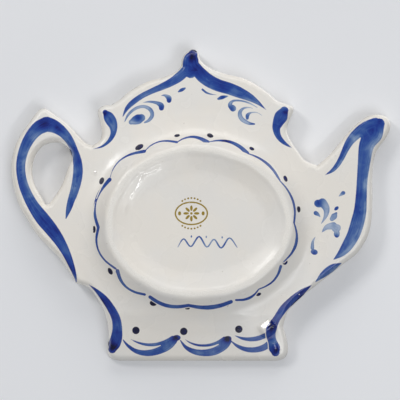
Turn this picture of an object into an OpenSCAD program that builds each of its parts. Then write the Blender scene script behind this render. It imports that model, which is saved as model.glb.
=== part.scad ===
// A shallow porcelain dish in the outline of a teapot, with hand-painted cobalt strokes.
// It stands on its oval foot ring, with the well up, +Z up and +Y towards the knob of the lid.
// Seen from above the spout is on the left (-X) and the handle is on the right (+X).
// Outline and stroke points are [x, y] or [x, y, brush width], in millimetres.

/* [Porcelain] */
// Height of the rim above the surface that the foot ring stands on
rim_h = 20; // [18:0.5:24]
// Height of the underside of the flange above that surface
flange_z = 10; // [9:0.5:12]
// Thickness of the flange
flange_t = 3.5; // [3:0.5:4.5]
// Thickness of the raised lip
lip_t = 3; // [2:0.25:3.5]
// Thickness of the small lip round the finger hole
hole_lip_t = 1.75; // [1:0.25:2.5]
// Height of the foot ring, which is the depth of the recess that it encloses
foot_h = 3; // [2.5:0.25:4]
// Thickness of the floor of the well
floor_t = 3; // [2.5:0.25:3.5]

/* [Foot ring and well] */
// Half length of the foot ring, outside
foot_a = 38.5; // [37:0.25:39]
// Half width of the foot ring, outside
foot_b = 31.5; // [30:0.25:32]
// Width of the bare bearing edge of the foot ring
foot_w = 3; // [2:0.25:4]
// Half length of the hole in the flange that the wall of the well fills
well_a = 39.25; // [39:0.25:40]
// Half width of the same hole
well_b = 33.25; // [33:0.25:34]
// Thickness of the wall of the well at its mouth
well_t = 2; // [1.5:0.25:3]
// How much the wall of the well leans in between its mouth and its floor
well_lean = 4; // [2:0.25:5]

/* [Painting] */
// Thickness of the painted layer
paint_t = 0.2; // [0.1:0.05:0.4]
// Half length of the scalloped line round the foot ring
garland_a = 42.6; // [42:0.1:43]
// Half width of the scalloped line
garland_b = 36.1; // [36:0.1:37]
// Half length of the gold oval in the recess
stamp_a = 7; // [5:0.25:9]
// Half width of the gold oval
stamp_b = 5; // [4:0.25:6]

/* [Hidden] */

porcelain = [0.94, 0.93, 0.91];
biscuit = [0.86, 0.83, 0.78];
cobalt = [0.17, 0.27, 0.62];
deep_cobalt = [0.10, 0.11, 0.38];
gold = [0.72, 0.56, 0.22];

curve_steps = 5;   // points along each span of a curve
oval_steps = 96;   // points round an oval
skin = 0.01;       // thickness of the slices that a leaning wall is stretched between
hair = 0.03;       // half of the thinnest sliver of paint that is kept

flange_top = flange_z + flange_t;
floor_top = foot_h + floor_t;
recess_a = foot_a - foot_w;
recess_b = foot_b - foot_w;
foot_centre = [1.2, -8];

// ---------- curves ----------

// Point at t of the smooth curve from b to c, with a before them and d after them
function span(a, b, c, d, t) =
  0.5 * (2 * b + (c - a) * t + (2 * a - 5 * b + 4 * c - d) * t * t + (3 * b - a - 3 * c + d) * t * t * t);

// Smooth open curve through the points p. Its last point is left out unless whole is true.
function curve(p, whole = false) =
  let (last = len(p) - 1)
  concat(
    [for (i = [0 : last - 1], j = [0 : curve_steps - 1])
      span(p[max(i - 1, 0)], p[i], p[i + 1], p[min(i + 2, last)], j / curve_steps)],
    whole ? [p[last]] : []);

// Smooth closed curve through the points p
function closed_curve(p) =
  let (n = len(p))
  [for (i = [0 : n - 1], j = [0 : curve_steps - 1])
    span(p[(i + n - 1) % n], p[i], p[(i + 1) % n], p[(i + 2) % n], j / curve_steps)];

function oval(a, b) =
  [for (i = [0 : oval_steps - 1]) let (t = 360 * i / oval_steps) [a * cos(t), b * sin(t)]];

// ---------- outline of the teapot ----------
// Each edge is one smooth stretch between two sharp corners, clockwise from the top of the knob.

knob_and_lid_right = [
  [3.5, 65.5], [6.5, 64.2], [8, 61.5], [8.5, 58.5], [11, 56], [16, 53.8], [22.5, 52], [30, 48],
  [34, 44.5], [38, 42]
];
shoulder_right = [
  [38, 42], [40.5, 42], [43, 40.5], [43.5, 38.5], [42.3, 34], [41.8, 30], [42.7, 27], [45.5, 25]
];
handle_outside = [
  [45.5, 25], [48.5, 26], [51.5, 29], [55.5, 33.5], [60, 37], [65, 40.5], [67, 40.7], [69, 39.5],
  [73, 34], [77.5, 27], [79.5, 20.5], [80, 15], [79, 7.5], [76.5, -0.5], [73, -6.5], [69.5, -12],
  [64.5, -17.5], [59.5, -22.5], [55.5, -28], [52.5, -33]
];
belly_and_plinth_right = [
  [52.5, -33], [47, -35], [43.5, -39.5], [40.5, -45], [39, -51.5], [38.8, -58], [39.5, -61.5],
  [38, -64.5], [34, -65.5]
];
plinth_left = [[-32, -65.5], [-35, -64.5], [-36.5, -62], [-36.3, -57.5], [-34.5, -51]];
belly_left = [
  [-34.5, -51], [-36.5, -44.5], [-41.5, -39], [-47, -35], [-52, -31], [-57.5, -26.7], [-61.5, -23.7],
  [-65.5, -20.5], [-69, -15.5], [-71, -10.5], [-72, -3.5], [-72.2, 4], [-72.2, 11], [-72.7, 18.5],
  [-74.5, 23.5], [-77.5, 27.5], [-79.5, 31]
];
spout_tip = [
  [-79.5, 31], [-80, 34.5], [-78, 37.3], [-74, 38.2], [-69.5, 37], [-64.5, 33], [-59.5, 27.5],
  [-54.5, 21.5], [-49, 16.5]
];
shoulder_left = [
  [-49, 16.5], [-44, 18.5], [-40.3, 23], [-37.5, 27.5], [-36.2, 31.5], [-37.2, 35.5], [-38.8, 39],
  [-38.8, 41.3], [-37.4, 42]
];
lid_left_and_knob = [
  [-37.4, 42], [-32, 44], [-28, 47.5], [-19.5, 52.8], [-9.5, 55.5], [-2.8, 58.5], [0.2, 61.5],
  [0.9, 64], [3.5, 65.5]
];
outline = concat(
  curve(knob_and_lid_right), curve(shoulder_right), curve(handle_outside), curve(belly_and_plinth_right),
  [[34, -65.5]], curve(plinth_left), curve(belly_left), curve(spout_tip), curve(shoulder_left),
  curve(lid_left_and_knob));

// Finger hole of the handle, clockwise from its top
finger_hole = closed_curve([
  [62, 26.5], [58.5, 25.8], [55.2, 23.2], [54.3, 19.5], [56, 15.5], [58.5, 8.5], [62.5, 2.2],
  [65, 0], [67.3, 3.5], [70.3, 9], [71.3, 15], [70, 21], [66.5, 25.2]
]);

// Joints between the zones of the dish
knob_joint_y = 57.5;
lid_joint_y = 41.5;
plinth_joint_y = -46;
handle_joint = [[45.5, 25], [52.5, -33]];
spout_joint = [[-49, 16.5], [-47, -35]];
far = 120;

module right_of(line) {
  polygon([line[0], line[1], [line[1].x, -far], [far, -far], [far, far], [line[0].x, far]]);
}

module left_of(line) {
  polygon([line[0], line[1], [line[1].x, -far], [-far, -far], [-far, far], [line[0].x, far]]);
}

module band(low, high) {
  translate([-far, low]) square([2 * far, high - low]);
}

// ---------- porcelain ----------

module slab(z, t) {
  translate([0, 0, z]) linear_extrude(t) children();
}

module foot_oval(a, b) {
  translate(foot_centre) polygon(oval(a, b));
}

// Solid between an oval a by b at z0 and a wider or narrower one at z1
module leaning_oval(a0, b0, z0, a1, b1, z1) {
  hull() {
    slab(z0, skin) foot_oval(a0, b0);
    slab(z1 - skin, skin) foot_oval(a1, b1);
  }
}

module foot_ring() {
  color(biscuit) slab(0, foot_h) difference() {
    foot_oval(foot_a, foot_b);
    foot_oval(recess_a, recess_b);
  }
}

module well_floor() {
  color(porcelain) slab(foot_h, floor_t) foot_oval(foot_a, foot_b);
}

module well_wall() {
  mouth_a = well_a - well_t;
  mouth_b = well_b - well_t;
  color(porcelain) difference() {
    union() {
      leaning_oval(foot_a, foot_b, floor_top, well_a, well_b, flange_z);
      slab(flange_z, flange_t) foot_oval(well_a, well_b);
    }
    leaning_oval(mouth_a - well_lean, mouth_b - well_lean, floor_top - skin,
                 mouth_a, mouth_b, flange_top + skin);
  }
}

// The flange inside the outline, in the zone that the children cover
module flange_zone() {
  color(porcelain) slab(flange_z, flange_t) intersection() {
    polygon(outline);
    children();
  }
}

module belly_flange() {
  flange_zone() difference() {
    band(plinth_joint_y, lid_joint_y);
    right_of(handle_joint);
    left_of(spout_joint);
    foot_oval(well_a, well_b);
  }
}

module handle_loop() {
  flange_zone() difference() {
    right_of(handle_joint);
    band(lid_joint_y, far);
    band(-far, plinth_joint_y);
    polygon(finger_hole);
  }
}

module spout() {
  flange_zone() difference() {
    left_of(spout_joint);
    band(lid_joint_y, far);
    band(-far, plinth_joint_y);
  }
}

module lid_crest() { flange_zone() band(lid_joint_y, knob_joint_y); }

module finial_knob() { flange_zone() band(knob_joint_y, far); }

module plinth() { flange_zone() band(-far, plinth_joint_y); }

module rim_lip() {
  color(porcelain) slab(flange_top, rim_h - flange_top) difference() {
    polygon(outline);
    offset(delta = -lip_t) polygon(outline);
  }
}

module handle_hole_lip() {
  color(porcelain) slab(flange_top, rim_h - flange_top) difference() {
    offset(delta = hole_lip_t) polygon(finger_hole);
    polygon(finger_hole);
  }
}

// ---------- brush strokes ----------

function heading(c, i) =
  let (a = c[max(i - 1, 0)], b = c[min(i + 1, len(c) - 1)]) atan2(b.y - a.y, b.x - a.x);

function beside(c, i, turn) =
  let (t = heading(c, i) + turn) [c[i].x + cos(t) * c[i].z / 2, c[i].y + sin(t) * c[i].z / 2];

// Outline of a brush stroke: p holds [x, y, width] along its middle, and both ends are round
function stroke(p) =
  let (c = curve(p, true), last = len(c) - 1)
  concat(
    [for (i = [0 : last]) beside(c, i, 90)],
    [for (turn = [60 : -30 : -60]) beside(c, last, turn)],
    [for (i = [last : -1 : 0]) beside(c, i, -90)],
    [for (turn = [-120 : -30 : -240]) beside(c, 0, turn)]);

// Paint on the underside of the flange
module paint_under(tint = cobalt) {
  color(tint) slab(flange_z - paint_t, paint_t) children();
}

// Paint on a face at height z
module paint_on(z, tint = cobalt) {
  color(tint) slab(z, paint_t) children();
}

module strokes(list) {
  for (p = list) polygon(stroke(p));
}

// Drops slivers of paint that are thinner than two hairs
module without_slivers() {
  offset(delta = hair) offset(delta = -hair) children();
}

// A dab of the brush: centre, length, width and the way it leans
module dab(d) {
  rim = [for (t = [0 : 20 : 340]) [d[2] / 2 * cos(t), d[3] / 2 * sin(t)]];
  translate([d[0], d[1]]) rotate(d[4]) polygon(rim);
}

module handle_strokes() {
  paint_under() strokes([
    [[64.9, 33.7, 6.8], [68.4, 32, 6.2], [71.4, 28.8, 5.4], [73.8, 24.4, 4.7], [75.3, 19.6, 4.3],
     [75.7, 15, 4.2], [74.9, 9.6, 4.3], [73, 4.4, 4.6], [70.2, -0.8, 5.2], [66.6, -5.8, 6.1],
     [62.8, -10.4, 5.8], [59.2, -15.4, 4.9], [56.3, -20.6, 3.8], [54.1, -25.8, 2.8],
     [52.7, -30, 1.8], [52.2, -32.4, 1]],
    [[64.9, 33.7, 6.8], [61.4, 32.6, 5.8], [58, 30.2, 4.6], [55.2, 26.8, 3.8], [53.2, 22.6, 3.5],
     [51.9, 18.4, 4], [51.5, 14, 4.4], [52, 9.6, 4.3], [53, 5.4, 3.9], [54.3, 1.6, 3.4],
     [55.4, -2.2, 2.6], [56.5, -6, 0.8]]
  ]);
}

module spout_strokes() {
  paint_under() strokes([
    [[-75, 34, 5], [-72.6, 30, 8.2], [-69.6, 25, 6.8], [-68.4, 17.4, 5.6], [-67.6, 10.2, 4.9],
     [-67.2, 4, 5],
     [-66.7, -2.4, 5.6], [-65.6, -7.4, 6], [-63.8, -12.8, 5.7], [-61.2, -17.4, 5], [-58.6, -20.6, 3.4],
     [-55.4, -23.2, 0.6]],
    [[-73.4, 34.3, 5], [-69, 32.4, 5], [-65.4, 29.6, 4.6], [-62.5, 26.4, 3.8], [-60.5, 22.8, 3.1],
     [-58.9, 19.4, 2.7], [-57.1, 16.4, 2.4], [-54.9, 14, 1.8], [-52, 12.2, 0.5]],
    [[-58.6, -24.8, 0.8], [-55, -26.6, 3.3], [-51.2, -29.4, 3], [-47.8, -32.6, 0.6]]
  ]);
}

module spout_florets() {
  paint_under(deep_cobalt) {
    strokes([
      [[-50.8, 0.6, 4], [-52.4, -1.8, 3.2], [-52.2, -4.8, 2], [-50.2, -8.4, 0.4]],
      [[-48, -3.8, 2.2], [-49, -4.5, 1.6], [-49.8, -5.4, 0.6]],
      [[-59.6, 4.7, 2], [-58.4, 3.8, 1.2], [-57.6, 3.2, 0.4]],
      [[-54.8, -6.2, 2.2], [-55.8, -5, 2.8], [-56.6, -3.8, 1.2]],
      [[-50.6, -11.8, 0.6], [-52.6, -9.7, 2.4], [-55.4, -9.1, 3.4]]
    ]);
    for (d = [[-49.2, 0.2, 4.2, 3.6, 10], [-56.7, -1.8, 2.5, 1.7, -40], [-56.6, -10.1, 4.2, 3.6, -20],
              [-56.8, -12.4, 2.8, 3.6, 0], [-47.3, -20.1, 3.3, 2.6, 15]]) dab(d);
    strokes([[[-47.8, -13.6, 0.4], [-46.7, -15.8, 1.3], [-46.5, -18.4, 1.8]]]);
  }
}

module lid_stroke_shapes() {
  strokes([
    [[3.4, 63.4, 4.4], [3.9, 62, 6.2], [4.3, 60, 7], [4.2, 57.6, 7.4], [4.4, 55.6, 5.6]],
    [[5.8, 57, 4.4], [8.8, 53.9, 4.5], [12.2, 51.5, 3.8], [16.4, 49.4, 3.2], [20.6, 47.6, 2.7],
     [24.8, 45.5, 2.6],
     [28.6, 42.8, 2.6], [31.1, 40.2, 2], [32.8, 36.8, 0.6]],
    [[2.4, 57.8, 5], [0, 54.6, 5.8], [-3.2, 52, 5.8], [-7.2, 50, 5.6], [-11.8, 48.6, 5.4],
     [-16.4, 46.8, 4.9],
     [-20.6, 44.8, 3.6], [-24.2, 42.4, 1.9], [-27.4, 39.5, 0.4]]
  ]);
}

module lid_strokes() { paint_under() lid_stroke_shapes(); }

module lid_curl_shapes() {
  strokes([
    [[32, 34.6, 0.6], [30.4, 37.7, 1.3], [27.4, 40.2, 1.5], [24, 41, 1.6], [21.2, 39.6, 1.9],
     [20.5, 37.2, 1.9], [21.8, 35.2, 1.6], [23.6, 34.2, 1]],
    [[29.3, 34.4, 2.4], [27.9, 35, 3.8], [26.2, 35.7, 4.4], [25, 36.2, 3.6]],
    [[16.6, 40.3, 2.4], [16.8, 41.5, 2.6], [18.8, 42.6, 1.6], [21.8, 43, 1.1], [24.4, 42.6, 0.4]],
    [[13.4, 43.5, 2.3], [13.6, 44.7, 2.5], [15.2, 45.7, 1.3], [16.6, 45.6, 0.5]],
    [[9.4, 47.3, 0.9], [8.1, 48, 1.7], [6.8, 48.7, 1.1]],
    [[-0.6, 48.2, 1.1], [-2.2, 46.9, 1.1], [-4.2, 46.2, 0.8], [-6.6, 45.9, 0.4]],
    [[-7.2, 44.2, 1.2], [-9, 44.9, 1.9], [-11.4, 45.4, 0.6]],
    [[-13.4, 40.2, 3], [-12.2, 41.8, 2.2], [-13.6, 43.4, 1.2], [-17, 43.4, 1], [-20.4, 42.4, 0.9],
     [-23.6, 40.6, 0.5]],
    [[-22.4, 33.6, 0.9], [-19.8, 34, 1.7], [-17, 35.8, 2.1], [-16.3, 38.4, 1.9], [-17.8, 40.2, 1.2],
     [-20.2, 40.6, 0.7], [-21.8, 40.2, 0.4]],
    [[-19.4, 36, 1.5], [-19.6, 37.4, 1.8], [-21, 38.4, 0.9], [-23.6, 38.4, 0.6], [-26, 36.9, 0.4]]
  ]);
}

module lid_curls() {
  paint_under(deep_cobalt) without_slivers() difference() {
    lid_curl_shapes();
    lid_stroke_shapes();
  }
}

module collar_commas() {
  paint_under() strokes([
    [[40.2, 38.6, 2.6], [39, 37, 4.6], [37.6, 34.7, 4.9], [36.7, 32.2, 3.7], [36.9, 29.4, 2.6],
     [38.5, 26.5, 1.9],
     [41.6, 24.1, 1.2], [45.4, 23.1, 0.4]],
    [[-35, 39.4, 3.8], [-33.7, 37, 5.9], [-32.3, 34.2, 4.9], [-31.6, 31.5, 3.6], [-32.5, 28.4, 2.7],
     [-34.7, 25.8, 2], [-38.2, 23.5, 0.4]]
  ]);
}

module belly_stroke_shapes() {
  strokes([
    [[47, -33.6, 0.4], [43.7, -36.2, 1.8], [40.6, -39.4, 3.1], [37.7, -43.4, 3.6], [35.6, -47.6, 4],
     [35, -51.8, 4.4], [35.4, -55.8, 5.2], [36.4, -58.6, 5.4], [37.2, -60.6, 4]],
    [[-46.4, -33.8, 0.4], [-42.8, -36.4, 2.6], [-38.7, -39.6, 3.4], [-34.6, -43.6, 3.6],
     [-31.6, -48, 3.4], [-29.5, -51.8, 4.8], [-29.2, -54.6, 4.4], [-29.9, -57.4, 4],
     [-30.8, -60.2, 5.2], [-31.2, -61.9, 4]]
  ]);
}

module belly_strokes() { paint_under() belly_stroke_shapes(); }

module swag_shapes() {
  strokes([
    [[33, -56.2, 0.6], [30.8, -59, 1.5], [27.4, -61.4, 2.2], [23.2, -62.3, 2.8], [18.6, -61.6, 3.3],
     [14.2, -59.6, 3.6], [11.4, -57.2, 3.1], [10.2, -55.6, 2]],
    [[29.4, -56.5, 0.5], [26.6, -57.8, 1.1], [23, -58.7, 1.5], [19.2, -58.7, 1.7], [15, -57.5, 1.8],
     [11.8, -55.8, 2]],
    [[8.6, -57, 0.8], [6.4, -59.8, 1.8], [3, -61.6, 2.6], [-1, -62.2, 3.1], [-5.4, -61.6, 3.6],
     [-9.2, -59.6, 3.7], [-11.4, -57.4, 3.1], [-12, -56, 1.8]],
    [[6.6, -56.6, 0.5], [4.4, -58, 1], [1, -59, 1.3], [-3, -59, 1.5], [-6.8, -57.9, 1.7],
     [-9.8, -56.2, 2]],
    [[-12.8, -57.4, 0.8], [-15.4, -59.4, 1.7], [-18.8, -60.7, 2.3], [-22.8, -60.9, 2.7],
     [-26.4, -59.9, 3], [-29, -58, 3]],
    [[-14.2, -55, 0.6], [-17.2, -56.1, 1.5], [-20.6, -56.5, 2.1], [-24.2, -56, 2.4],
     [-28, -54.4, 2.4]]
  ]);
  for (d = [[10.4, -56, 4.2, 2.9, -12], [-11, -56.3, 4, 2.7, -8]]) dab(d);
}

module plinth_swags() {
  paint_under() difference() {
    swag_shapes();
    belly_stroke_shapes();
  }
}

module plinth_dots() {
  paint_under(deep_cobalt) for (at = [[27.2, -52.8], [7.2, -53.2], [-15.8, -52.3]])
    translate(at) circle(d = 3.4, $fn = 32);
}

// The scalloped line: each arc is [its first angle, its reach there and in its middle, its widths
// at its start, middle and end, and the angle left free after it]. A reach of 1 is the full oval.
garland_arcs = [
  [31, 0.98, 1.04, 0.5, 0.9, 1.8, 0], [59, 0.97, 1.01, 0.7, 0.9, 1.4, 0],
  [79, 0.95, 1.0, 0.7, 1.3, 2.3, 0], [97, 0.94, 1.0, 0.6, 1.6, 2.2, 0],
  [122, 0.95, 0.98, 0.8, 1.5, 1.3, 0], [149, 0.955, 0.985, 0.8, 1.3, 1.1, 0],
  [180, 0.96, 1.01, 0.9, 1.6, 0.8, 3.5], [211, 0.97, 1.01, 1.5, 1.1, 0.8, 0],
  [231, 0.98, 1.01, 0.8, 1.4, 1.1, 3], [249, 0.97, 0.98, 1.8, 2.1, 1.5, 0],
  [274, 0.95, 0.99, 1.6, 1.8, 1.7, 3.5], [301, 0.96, 1.0, 1.3, 1.2, 1.9, 2],
  [326, 0.94, 1.0, 1.1, 1.0, 1.5, 0], [357, 0.95, 1.01, 1.6, 1.3, 2, 0]
];

function garland_point(t, reach) =
  [2.3 + garland_a * reach * cos(t), -8.2 + garland_b * reach * sin(t)];

module garland_shapes() {
  n = len(garland_arcs);
  strokes([
    for (i = [0 : n - 1])
      let (arc = garland_arcs[i], next = garland_arcs[(i + 1) % n],
           t0 = arc[0], t1 = next[0] + (i == n - 1 ? 360 : 0) - arc[6])
      [for (k = [0 : 4])
        let (f = k / 4, rise = sin(180 * f),
             reach = arc[1] * (1 - f) + next[1] * f + (arc[2] - (arc[1] + next[1]) / 2) * rise,
             width = f < 0.5 ? arc[3] + (arc[4] - arc[3]) * 2 * f : arc[4] + (arc[5] - arc[4]) * (2 * f - 1),
             at = garland_point(t0 + (t1 - t0) * f, reach))
        [at.x, at.y, width]]
  ]);
}

// It ends where the wall of the well begins
module scallop_garland() {
  paint_under() without_slivers() difference() {
    garland_shapes();
    foot_oval(well_a, well_b);
  }
}

module garland_dots() {
  paint_under(deep_cobalt) difference() {
    for (d = [
      [25.8, 23.7, 4.2, 2.5, -30], [10, 28.5, 2.7, 1.6, -10], [-3.8, 28.5, 3.1, 2.2, 20],
      [-21.2, 23, 2.5, 1.8, 25],
      [-35.2, 10.4, 1.9, 3.2, -20], [-40.7, -2.4, 1.8, 3.1, -5], [-34.9, -24.4, 2.5, 2.7, 30],
      [-24, -37.8, 2.5, 1.7, -20], [-10.6, -42.2, 2.5, 1.7, -10], [5.8, -43.4, 2.9, 1.7, 5],
      [19.8, -41.4, 3.4, 2.8, 0], [37.8, -28.2, 2.1, 3.4, -30], [44.6, -10.8, 1.7, 3.4, 0],
      [41.5, 9.6, 2.3, 3.4, 20]
    ]) dab(d);
    garland_shapes();
  }
}

// ---------- gold stamp and flourish in the recess ----------

module ring_2d(a, b, w) {
  difference() {
    polygon(oval(a, b));
    polygon(oval(a - w, b - w));
  }
}

// A plain oval border round a rosette of eight petals
module gold_backstamp() {
  paint_on(foot_h - paint_t, gold) translate([4, -4.2]) {
    ring_2d(stamp_a, stamp_b, 0.75);
    for (i = [0 : 7]) rotate(45 * i) dab([2.2, 0, 2.6, 1.2, 0]);
    circle(r = 0.6, $fn = 24);
    for (side = [-1, 1]) dab([side * 4.9, 0, 1.4, 1.9, 0]);
    for (side = [-1, 1], lean = [-36 : 12 : 36]) rotate(lean) dab([0, side * 6.4, 1, 0.9, 0]);
  }
}

// A loose wave of the brush with three dots over it
module painter_flourish() {
  paint_on(foot_h - paint_t, cobalt) {
    strokes([
      [[9.6, -18.2, 0.6], [7.2, -14.8, 0.9], [4.2, -18, 0.9], [0.8, -13.8, 1],
       [-2.4, -18.2, 0.9], [-5.4, -15, 0.9], [-8.4, -18.6, 1], [-11.8, -14.4, 0.9], [-15, -18.4, 0.6]]
    ]);
    for (at = [[4, -13.8], [-2.2, -14], [-8.8, -14.2]]) dab([at.x, at.y, 0.9, 1.3, 0]);
  }
}

// ---------- painting on the upper side ----------

module front_rim_strokes() {
  paint_on(flange_top) strokes([
    [[-73, 33.4, 1.6], [-69.4, 28.4, 4.4], [-66.6, 21, 4], [-65.2, 12, 3.4], [-64.6, 2, 3.6],
     [-63, -8, 4.2],
     [-59.4, -16, 3.4], [-54, -22.4, 0.6]],
    [[48.6, 21, 0.6], [49.4, 14, 2], [50.2, 6, 2.6], [52.6, -3, 3], [56.2, -10.4, 2.2],
     [60.6, -14.4, 0.6]],
    [[30.6, 43, 0.6], [24, 46.6, 2.2], [17, 49, 3], [10.5, 51.6, 3], [5, 55, 1.4]],
    [[-30, 42.2, 0.6], [-23, 46.6, 2.2], [-15, 49.8, 3], [-7.4, 51.8, 3], [-0.5, 55, 1.4]],
    [[35.6, 38.2, 3], [34.8, 33.8, 4], [35.8, 29.2, 2.6], [38.8, 25.4, 0.6]],
    [[-32.6, 38.2, 3], [-31.2, 33.8, 4], [-31.6, 29, 2.6], [-34.4, 24.6, 0.6]],
    [[33, -57.4, 0.8], [27, -60.2, 2.6], [20, -60.9, 3], [13.4, -59, 2.6], [9.6, -55.6, 0.8]],
    [[8, -57.4, 0.8], [3, -60.4, 2.6], [-3, -60.8, 3], [-8.6, -59, 2.6], [-12, -55.6, 0.8]],
    [[-13.6, -57.4, 0.8], [-18, -60.2, 2.4], [-23.4, -60.4, 2.8], [-28, -58, 2.4], [-30.6, -54, 0.8]]
  ]);
}

module front_well_line() {
  paint_on(flange_top) translate(foot_centre) ring_2d(well_a + 2.2, well_b + 2.2, 0.9);
}

// One open rose: a heart, and two rings of petals that widen outwards
module front_well_rose() {
  paint_on(floor_top) translate(foot_centre) {
    circle(r = 1.4, $fn = 32);
    for (ring = [[5, 3.9, 4.4, 3, 0], [8, 8.9, 5.4, 4.4, 22.5]])
      for (i = [0 : ring[0] - 1])
        rotate(360 * i / ring[0] + ring[4]) dab([ring[1], 0, ring[3], ring[2], 0]);
  }
}

module sprig() {
  strokes([
    [[13, 1, 0.4], [17.5, 3.4, 0.8], [22, 3, 0.8], [27, 0, 0.4]],
    [[16, 5.2, 0.5], [18.6, 8.4, 2.4], [22.4, 9.6, 0.5]],
    [[17, 0.6, 0.5], [19.6, -3, 2.4], [23.6, -4.6, 0.5]],
    [[23.2, 4.8, 0.4], [26, 6, 1.8], [29, 5.2, 0.4]],
    [[13, -9, 0.5], [17, -11, 2], [21.4, -10.4, 0.4]],
    [[11.4, 11, 0.5], [14.6, 13.4, 2], [18.8, 13.4, 0.4]]
  ]);
}

module front_well_sprigs() {
  paint_on(floor_top, deep_cobalt) translate(foot_centre) {
    sprig();
    mirror([1, 0]) sprig();
  }
}

foot_ring();
well_floor();
well_wall();
belly_flange();
handle_loop();
spout();
lid_crest();
finial_knob();
plinth();
rim_lip();
handle_hole_lip();
handle_strokes();
spout_strokes();
spout_florets();
lid_strokes();
lid_curls();
collar_commas();
belly_strokes();
scallop_garland();
garland_dots();
plinth_swags();
plinth_dots();
gold_backstamp();
painter_flourish();
front_rim_strokes();
front_well_line();
front_well_rose();
front_well_sprigs();
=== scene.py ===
"""A teapot-shaped porcelain dish with cobalt brush painting, seen from below as it lies face down.

The casting is rebuilt as smooth pieces over the CAD zones, and each painted motif as a thin film
that follows the casting. Lengths are in millimetres until a mesh is made.
"""
import math

import bpy
import numpy as np
from mathutils import Matrix, Vector, geometry, kdtree


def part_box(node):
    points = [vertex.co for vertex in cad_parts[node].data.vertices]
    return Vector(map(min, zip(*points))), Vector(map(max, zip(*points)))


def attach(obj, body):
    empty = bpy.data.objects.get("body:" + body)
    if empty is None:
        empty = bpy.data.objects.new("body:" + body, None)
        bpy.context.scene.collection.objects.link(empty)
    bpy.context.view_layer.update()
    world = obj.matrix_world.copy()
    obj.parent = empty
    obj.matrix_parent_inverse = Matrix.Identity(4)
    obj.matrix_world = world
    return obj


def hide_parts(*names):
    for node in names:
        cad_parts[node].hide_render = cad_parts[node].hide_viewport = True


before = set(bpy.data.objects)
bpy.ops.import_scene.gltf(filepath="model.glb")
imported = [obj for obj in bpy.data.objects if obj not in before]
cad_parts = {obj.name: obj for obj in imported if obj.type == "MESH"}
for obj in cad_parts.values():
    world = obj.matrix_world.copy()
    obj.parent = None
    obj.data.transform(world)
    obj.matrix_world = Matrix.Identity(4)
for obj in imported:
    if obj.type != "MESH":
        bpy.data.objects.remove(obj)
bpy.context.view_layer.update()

METRE = 0.001

# ---------- the CAD shapes that the pieces are built on ----------


def footprint(node):
    """The closed outlines of a CAD node's lower face, each an array of points."""
    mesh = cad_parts[node].data
    points = [tuple(round(c / METRE, 3) for c in v.co) for v in mesh.vertices]
    low = min(p[2] for p in points) + 0.01
    edges = set()
    for face in mesh.polygons:
        ring = [points[i] for i in face.vertices]
        if all(p[2] < low for p in ring):
            ring = [p[:2] for p in ring]
            for a, b in zip(ring, ring[1:] + ring[:1]):
                if (b, a) in edges:
                    edges.remove((b, a))
                elif a != b:
                    edges.add((a, b))
    after = {}
    for a, b in sorted(edges):
        after.setdefault(a, []).append(b)
    loops = []
    while after:
        start = min(after)
        loop, here = [], start
        while here in after:
            loop.append(here)
            onward = after[here].pop(0)
            if not after[here]:
                del after[here]
            here = onward
            if here == start:
                break
        if len(loop) > 2:
            loops.append(np.array(loop))
    return sorted(loops, key=lambda p: -abs(area(p)))


def area(loop):
    x, y = loop[:, 0], loop[:, 1]
    return 0.5 * float(np.sum(x * np.roll(y, -1) - np.roll(x, -1) * y))


def resampled(loop, step):
    """The loop with points no further apart than step."""
    made = []
    for a, b in zip(loop, np.roll(loop, -1, 0)):
        n = max(1, math.ceil(np.hypot(*(b - a)) / step))
        made += [a + (b - a) * k / n for k in range(n)]
    return np.array(made)


def nearest(points, loops):
    """Distance from each point to the loops, and the nearest point on them."""
    a = np.vstack(loops)
    along = np.vstack([np.roll(p, -1, 0) for p in loops]) - a
    ax, ay = a.T.astype(np.float32)
    dx, dy = along.T.astype(np.float32)
    per_length2 = 1 / np.maximum(dx * dx + dy * dy, 1e-12)
    best, spot = np.empty(len(points)), np.empty((len(points), 2))
    for start in range(0, len(points), 800):
        p = points[start : start + 800]
        x = p[:, :1].astype(np.float32) - ax
        y = p[:, 1:].astype(np.float32) - ay
        t = np.clip((x * dx + y * dy) * per_length2, 0, 1)
        x -= t * dx
        y -= t * dy
        k = (x * x + y * y).argmin(1)
        foot = a[k] + t[np.arange(len(p)), k][:, None] * along[k]
        spot[start : start + 800] = foot
        best[start : start + 800] = np.hypot(*(p - foot).T)
    return best, spot


def inside(points, loops):
    """Whether each point is inside the loops, by the even-odd rule."""
    hit = np.zeros(len(points), bool)
    x, y = points[:, 0], points[:, 1]
    for loop in loops:
        for (x0, y0), (x1, y1) in zip(loop, np.roll(loop, -1, 0)):
            if y0 != y1:
                crosses = (y0 > y) != (y1 > y)
                hit ^= crosses & (x < (x1 - x0) * (y - y0) / (y1 - y0) + x0)
    return hit


def low_high(node):
    low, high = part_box(node)
    return np.array(low) / METRE, np.array(high) / METRE


outline = footprint("rim_lip")[0]
finger_hole = footprint("handle_loop")[1]
foot_low, foot_high = low_high("foot_ring")
foot_centre = (foot_low + foot_high)[:2] / 2
foot_half = (foot_high - foot_low)[:2] / 2
rim_z = low_high("rim_lip")[1][2]
flange_z = low_high("belly_flange")[0][2]
flange_top = low_high("belly_flange")[1][2]
recess_z = low_high("well_floor")[0][2]
well_z = low_high("well_floor")[1][2]
knob_joint_y = low_high("finial_knob")[0][1]
lid_joint_y = low_high("lid_crest")[0][1]
plinth_joint_y = low_high("plinth")[1][1]
mouth_loop = footprint("belly_flange")[1]
mouth_half = (mouth_loop.max(0) - mouth_loop.min(0)) / 2


def shared_line(node, other):
    """The straight joint between two zones: its upper and lower end."""
    mine = {tuple(p) for p in np.round(footprint(node)[0], 2)}
    theirs = {tuple(p) for p in np.round(footprint(other)[0], 2)}
    both = sorted(mine & theirs, key=lambda p: -p[1])
    return np.array(both[0]), np.array(both[-1])


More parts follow.
